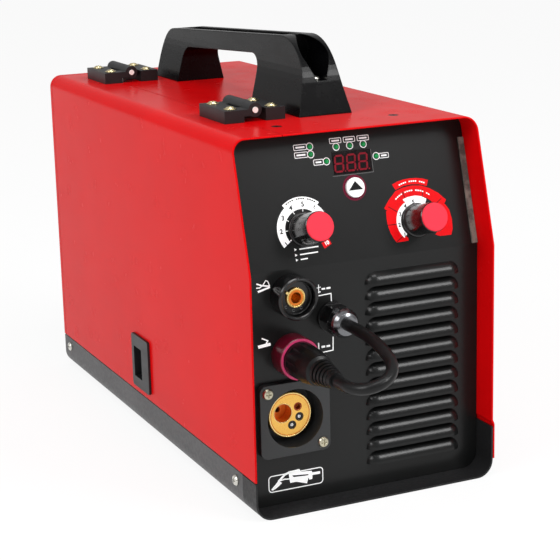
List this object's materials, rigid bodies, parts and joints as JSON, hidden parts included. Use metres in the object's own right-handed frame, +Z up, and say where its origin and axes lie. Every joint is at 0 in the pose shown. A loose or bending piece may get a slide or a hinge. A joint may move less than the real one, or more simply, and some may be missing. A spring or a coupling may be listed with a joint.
{
  "type": "MIG welding machine",
  "caption": "Portable wire-feed welding power source: sheet casing with hinged side door, raked control panel, front weld and torch sockets with polarity lead, wire feeder and carry handle.",
  "frame": {"origin": "middle of the underside of the base tray", "axes": "+X to the right seen from the front, +Y from the front panel to the rear panel, +Z up"},
  "size_m": [0.234, 0.628, 0.3799],
  "materials": {
    "casing_red": "gloss paint",
    "panel_black": "fine textured paint",
    "tray_grey": "fine textured paint",
    "zinc_sheet": "galvanised",
    "zinc": "zinc plated",
    "yellow_zinc": "yellow zinc plated",
    "black_steel": "blackened",
    "black_plastic": "satin",
    "gloss_black": "semi gloss",
    "cap_red": "gloss",
    "socket_red": "satin",
    "brass": "machined",
    "copper": "enamelled wire",
    "aluminium": "milled",
    "board_green": "solder mask",
    "lens_red": "clear gloss",
    "lamp_green": "clear gloss",
    "button_white": "gloss",
    "seal_grey": "mottled",
    "rubber_black": "matt",
    "motor_grey": "satin paint",
    "capacitor_blue": "sleeve",
    "core_black": "ferrite",
    "rocker_red": "gloss"
  },
  "bodies": {
    "casing": {"base_tray": "tray_grey", "front_panel": "panel_black", "rear_panel": "tray_grey", "cover": "casing_red", "divider": "zinc_sheet", "handle": "black_plastic", "handle_screws": "zinc", "cover_hinge_leaves": "black_plastic", "hinge_pins": "zinc", "cover_hinge_screws": "yellow_zinc", "cover_screws": "black_steel", "skirt_screws": "zinc", "display_lens": "lens_red", "status_lamps": "lamp_green", "panel_seal_strip": "seal_grey", "control_board": "board_green", "potentiometers": "zinc", "upper_socket": "black_plastic", "lower_socket": "socket_red", "socket_inserts": "brass", "torch_flange": "black_plastic", "torch_socket_body": "brass", "torch_pins": "black_plastic", "torch_screws": "zinc", "lead_gland": "black_plastic", "lead_gland_nut": "zinc", "lead_cable": "rubber_black", "lead_plug": "rubber_black", "lead_plug_pin": "brass", "feeder_plate": "aluminium", "feeder_motor": "motor_grey", "wire_guides": "brass", "hub_spindle": "zinc", "power_board": "board_green", "heatsinks": "aluminium", "capacitors": "capacitor_blue", "transformer": "core_black", "output_choke": "copper", "fan_frame": "black_plastic", "gas_valve": "brass", "switch_housing": "black_plastic", "mains_gland": "black_plastic", "earth_stud": "yellow_zinc"},
    "door": {"door": "casing_red", "door_hinge_leaves": "black_plastic", "door_hinge_screws": "yellow_zinc", "latch_frame": "gloss_black"},
    "latch": {"latch_slider": "gloss_black"},
    "speed_dial": {"wire_speed_knob": "black_plastic", "wire_speed_cap": "cap_red"},
    "voltage_dial": {"voltage_knob": "black_plastic", "voltage_cap": "cap_red"},
    "button": {"mode_button": "button_white"},
    "rocker": {"power_rocker": "rocker_red"},
    "fan": {"fan_rotor": "black_plastic"},
    "drive": {"drive_roll": "zinc"},
    "arm": {"pressure_arm": "black_plastic"},
    "idler": {"pressure_roll": "zinc"},
    "lever": {"tension_lever": "black_plastic"},
    "hub": {"spool_hub": "black_plastic"}
  },
  "joints": [
    {"name": "door_hinge", "type": "hinge", "parent": "casing", "child": "door", "pos_m": [-0.0595, 0, 0.325], "axis": [0, 1, 0], "range_deg": [0, 110]},
    {"name": "latch_slide", "type": "slide", "parent": "door", "child": "latch", "axis": [0, 0, 1], "range_m": [-0.005, 0]},
    {"name": "wire_speed_turn", "type": "hinge", "parent": "casing", "child": "speed_dial", "pos_m": [-0.0495, -0.23139, 0.23663], "axis": [0, -0.9629, 0.27], "range_deg": [-150, 150]},
    {"name": "voltage_turn", "type": "hinge", "parent": "casing", "child": "voltage_dial", "pos_m": [0.056, -0.23247, 0.23278], "axis": [0, -0.9629, 0.27], "range_deg": [-150, 150]},
    {"name": "button_press", "type": "slide", "parent": "casing", "child": "button", "axis": [0, 0.9629, -0.27], "range_m": [0, 0.0015], "stiffness_N_per_m": 300, "springref_m": -0.001},
    {"name": "power_switch", "type": "hinge", "parent": "casing", "child": "rocker", "pos_m": [0.052, 0.249, 0.262], "axis": [1, 0, 0], "range_deg": [0, 24]},
    {"name": "fan_spin", "type": "hinge", "parent": "casing", "child": "fan", "pos_m": [0.052, 0.237, 0.13], "axis": [0, 1, 0], "continuous": true},
    {"name": "drive_roll_spin", "type": "hinge", "parent": "casing", "child": "drive", "pos_m": [-0.0746, -0.131, 0.0644], "axis": [1, 0, 0], "continuous": true},
    {"name": "pressure_arm_lift", "type": "hinge", "parent": "casing", "child": "arm", "pos_m": [-0.0631, -0.101, 0.0932], "axis": [-1, 0, 0], "range_deg": [0, 6]},
    {"name": "pressure_roll_spin", "type": "hinge", "parent": "arm", "child": "idler", "pos_m": [-0.0746, -0.131, 0.0912], "axis": [1, 0, 0], "continuous": true},
    {"name": "tension_lever_swing", "type": "hinge", "parent": "casing", "child": "lever", "pos_m": [-0.0631, -0.159, 0.0718], "axis": [1, 0, 0], "range_deg": [0, 24]},
    {"name": "spool_hub_spin", "type": "hinge", "parent": "casing", "child": "hub", "pos_m": [-0.0513, 0.09, 0.172], "axis": [1, 0, 0], "continuous": true}
  ]
}
